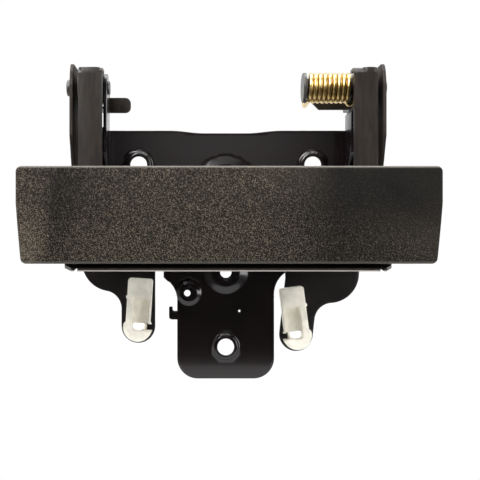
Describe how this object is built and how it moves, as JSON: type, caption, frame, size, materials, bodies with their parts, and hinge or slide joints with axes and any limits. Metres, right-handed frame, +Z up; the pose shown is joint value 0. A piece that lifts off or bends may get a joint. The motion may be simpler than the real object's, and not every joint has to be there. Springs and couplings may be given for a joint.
{
  "type": "tailgate handle",
  "caption": "Tailgate handle: a textured paddle on a steel bracket, hinged above a stamped plate, with a torsion spring, levers and nylon rod clips.",
  "frame": {"origin": "on the front face of the base plate, on its centre line, between the pivot boss and the large dimple", "axes": "+Z up the tailgate, -Y out of the tailgate towards the hand, +X to the right as seen from the front"},
  "size_m": [0.205, 0.0775, 0.1627],
  "materials": {
    "textured_plastic": "fine moulded grain",
    "satin_black_steel": "satin",
    "gloss_black_steel": "gloss",
    "yellow_zinc": "yellow zinc plating on steel wire",
    "plain_zinc": "satin zinc plating",
    "ivory_nylon": "smooth moulded nylon"
  },
  "bodies": {
    "base": {"base_plate": "gloss_black_steel", "left_pivot_bracket": "gloss_black_steel", "right_pivot_bracket": "gloss_black_steel", "left_pivot_pin": "satin_black_steel", "right_pivot_pin": "satin_black_steel", "left_pivot_spacer": "ivory_nylon", "right_pivot_spacer": "ivory_nylon", "return_spring": "yellow_zinc", "lever_pivot_rivet": "plain_zinc", "lever_washer": "plain_zinc"},
    "handle": {"handle_bracket": "satin_black_steel", "paddle": "textured_plastic", "paddle_screw_1": "plain_zinc", "paddle_screw_2": "plain_zinc", "paddle_screw_3": "plain_zinc", "paddle_screw_4": "plain_zinc"},
    "left_lever": {"left_lever": "satin_black_steel"},
    "right_lever": {"right_lever": "satin_black_steel"},
    "left_clip": {"left_rod_clip": "ivory_nylon"},
    "right_clip": {"right_rod_clip": "ivory_nylon"}
  },
  "joints": [
    {"name": "handle_pivot", "type": "hinge", "parent": "base", "child": "handle", "pos_m": [0, -0.012, 0.078], "axis": [-1, 0, 0], "range_deg": [0, 30], "stiffness_Nm_per_rad": 0.8, "springref_deg": -40.11, "deforming": ["return_spring"]},
    {"name": "left_lever_pivot", "type": "hinge", "parent": "base", "child": "left_lever", "pos_m": [0, 0.01, 0.025], "axis": [0, -1, 0], "range_deg": [0, 13]},
    {"name": "right_lever_pivot", "type": "hinge", "parent": "base", "child": "right_lever", "pos_m": [0, 0.0123, 0.025], "axis": [0, 1, 0], "range_deg": [0, 6.7]},
    {"name": "left_clip_swivel", "type": "hinge", "parent": "left_lever", "child": "left_clip", "pos_m": [-0.0473, 0.01, -0.048], "axis": [0, -1, 0], "range_deg": [0, 90]},
    {"name": "right_clip_swivel", "type": "hinge", "parent": "right_lever", "child": "right_clip", "pos_m": [0.039, 0.0123, -0.05275], "axis": [0, 1, 0], "range_deg": [0, 90]}
  ],
  "couplings": [
    {"joint": "left_lever_pivot", "follows": "handle_pivot", "ratio": 0.4333},
    {"joint": "right_lever_pivot", "follows": "handle_pivot", "ratio": 0.2233}
  ]
}
